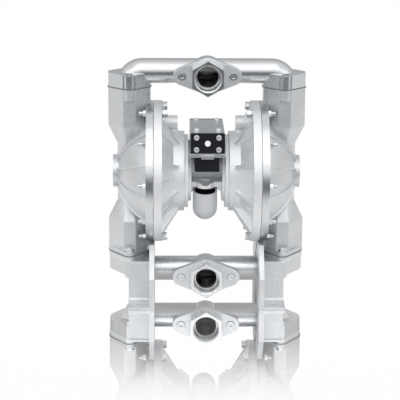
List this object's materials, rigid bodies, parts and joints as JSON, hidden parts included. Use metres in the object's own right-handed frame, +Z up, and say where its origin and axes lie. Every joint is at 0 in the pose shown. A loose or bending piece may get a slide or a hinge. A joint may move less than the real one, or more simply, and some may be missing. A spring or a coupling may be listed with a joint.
{
  "type": "air operated diaphragm pump",
  "caption": "Air operated double diaphragm pump: ribbed round chambers, valve necks, tube manifolds above and below with hexagonal flanged ports, air valve, exhaust cup and bolted legs.",
  "frame": {"origin": "on the floor, in the middle of the four foot bolt holes, under the main shaft", "axes": "+X right along the main shaft, +Y away from the ports to the back, +Z up"},
  "size_m": [0.4618, 0.332, 0.579],
  "materials": {
    "cast_stainless": "bead-blasted cast stainless steel, satin",
    "machined_stainless": "machined and polished stainless steel",
    "cast_aluminium": "blasted cast metal, satin grey",
    "steel_screw": "plain bright steel",
    "black_plastic": "black moulded plastic, satin",
    "grey_plastic": "light grey moulded plastic, matt",
    "white_plastic": "white plastic, smooth",
    "dark_rubber": "dark rubber",
    "bronze": "plain bearing bronze"
  },
  "bodies": {
    "pump_body": {"air_inlet_plug": "white_plastic", "air_plug_left": "steel_screw", "air_plug_right": "steel_screw", "cap_screws": "steel_screw", "centre_body": "cast_aluminium", "centre_bolts_left": "steel_screw", "centre_bolts_right": "steel_screw", "chamber_bolts_left": "steel_screw", "chamber_bolts_right": "steel_screw", "chamber_nuts_left": "steel_screw", "chamber_nuts_right": "steel_screw", "diaphragm_left": "dark_rubber", "diaphragm_right": "dark_rubber", "discharge_manifold": "cast_stainless", "discharge_port_flange": "machined_stainless", "exhaust_cup": "grey_plastic", "inlet_manifold": "cast_stainless", "inlet_port_flange": "machined_stainless", "inner_chamber_left": "cast_aluminium", "inner_chamber_right": "cast_aluminium", "leg_left": "cast_stainless", "leg_right": "cast_stainless", "lower_cage_left": "steel_screw", "lower_cage_right": "steel_screw", "lower_joint_bolts": "steel_screw", "lower_joint_gaskets": "dark_rubber", "lower_joint_nuts": "steel_screw", "lower_seat_left": "steel_screw", "lower_seat_right": "steel_screw", "outer_chamber_left": "cast_stainless", "outer_chamber_right": "cast_stainless", "pilot_block": "black_plastic", "port_screws": "steel_screw", "shaft_bush_left": "bronze", "shaft_bush_right": "bronze", "upper_cage_left": "steel_screw", "upper_cage_right": "steel_screw", "upper_joint_gaskets": "dark_rubber", "upper_joint_screws": "steel_screw", "upper_seat_left": "steel_screw", "upper_seat_right": "steel_screw", "valve_base": "cast_aluminium", "valve_body": "cast_aluminium", "valve_front_cap": "black_plastic", "valve_gasket": "dark_rubber", "valve_rear_cap": "black_plastic", "valve_top_screws": "steel_screw"},
    "shaft_assembly": {"main_shaft": "steel_screw", "inner_plate_left": "steel_screw", "inner_plate_right": "steel_screw", "outer_plate_left": "steel_screw", "outer_plate_right": "steel_screw", "shaft_nut_left": "steel_screw", "shaft_nut_right": "steel_screw"},
    "pilot_rod": {"pilot_rod": "steel_screw"},
    "valve_spool": {"valve_spool": "black_plastic"},
    "upper_ball_left": {"upper_ball_left": "white_plastic"},
    "upper_ball_right": {"upper_ball_right": "white_plastic"},
    "lower_ball_left": {"lower_ball_left": "white_plastic"},
    "lower_ball_right": {"lower_ball_right": "white_plastic"}
  },
  "joints": [
    {"name": "shaft_slide", "type": "slide", "parent": "pump_body", "child": "shaft_assembly", "axis": [1, 0, 0], "range_m": [-0.012, 0.012], "deforming": ["diaphragm_left", "diaphragm_right"]},
    {"name": "pilot_rod_slide", "type": "slide", "parent": "pump_body", "child": "pilot_rod", "axis": [1, 0, 0], "range_m": [-0.004, 0.004]},
    {"name": "spool_shift", "type": "slide", "parent": "pump_body", "child": "valve_spool", "axis": [0, 1, 0], "range_m": [0, 0.02]},
    {"name": "upper_ball_left_lift", "type": "slide", "parent": "pump_body", "child": "upper_ball_left", "axis": [0, 0, 1], "range_m": [0, 0.014]},
    {"name": "upper_ball_right_lift", "type": "slide", "parent": "pump_body", "child": "upper_ball_right", "axis": [0, 0, 1], "range_m": [0, 0.014]},
    {"name": "lower_ball_left_lift", "type": "slide", "parent": "pump_body", "child": "lower_ball_left", "axis": [0, 0, 1], "range_m": [0, 0.014]},
    {"name": "lower_ball_right_lift", "type": "slide", "parent": "pump_body", "child": "lower_ball_right", "axis": [0, 0, 1], "range_m": [0, 0.014]}
  ],
  "couplings": [
    {"joint": "pilot_rod_slide", "follows": "shaft_slide", "ratio": 0.33333}
  ]
}
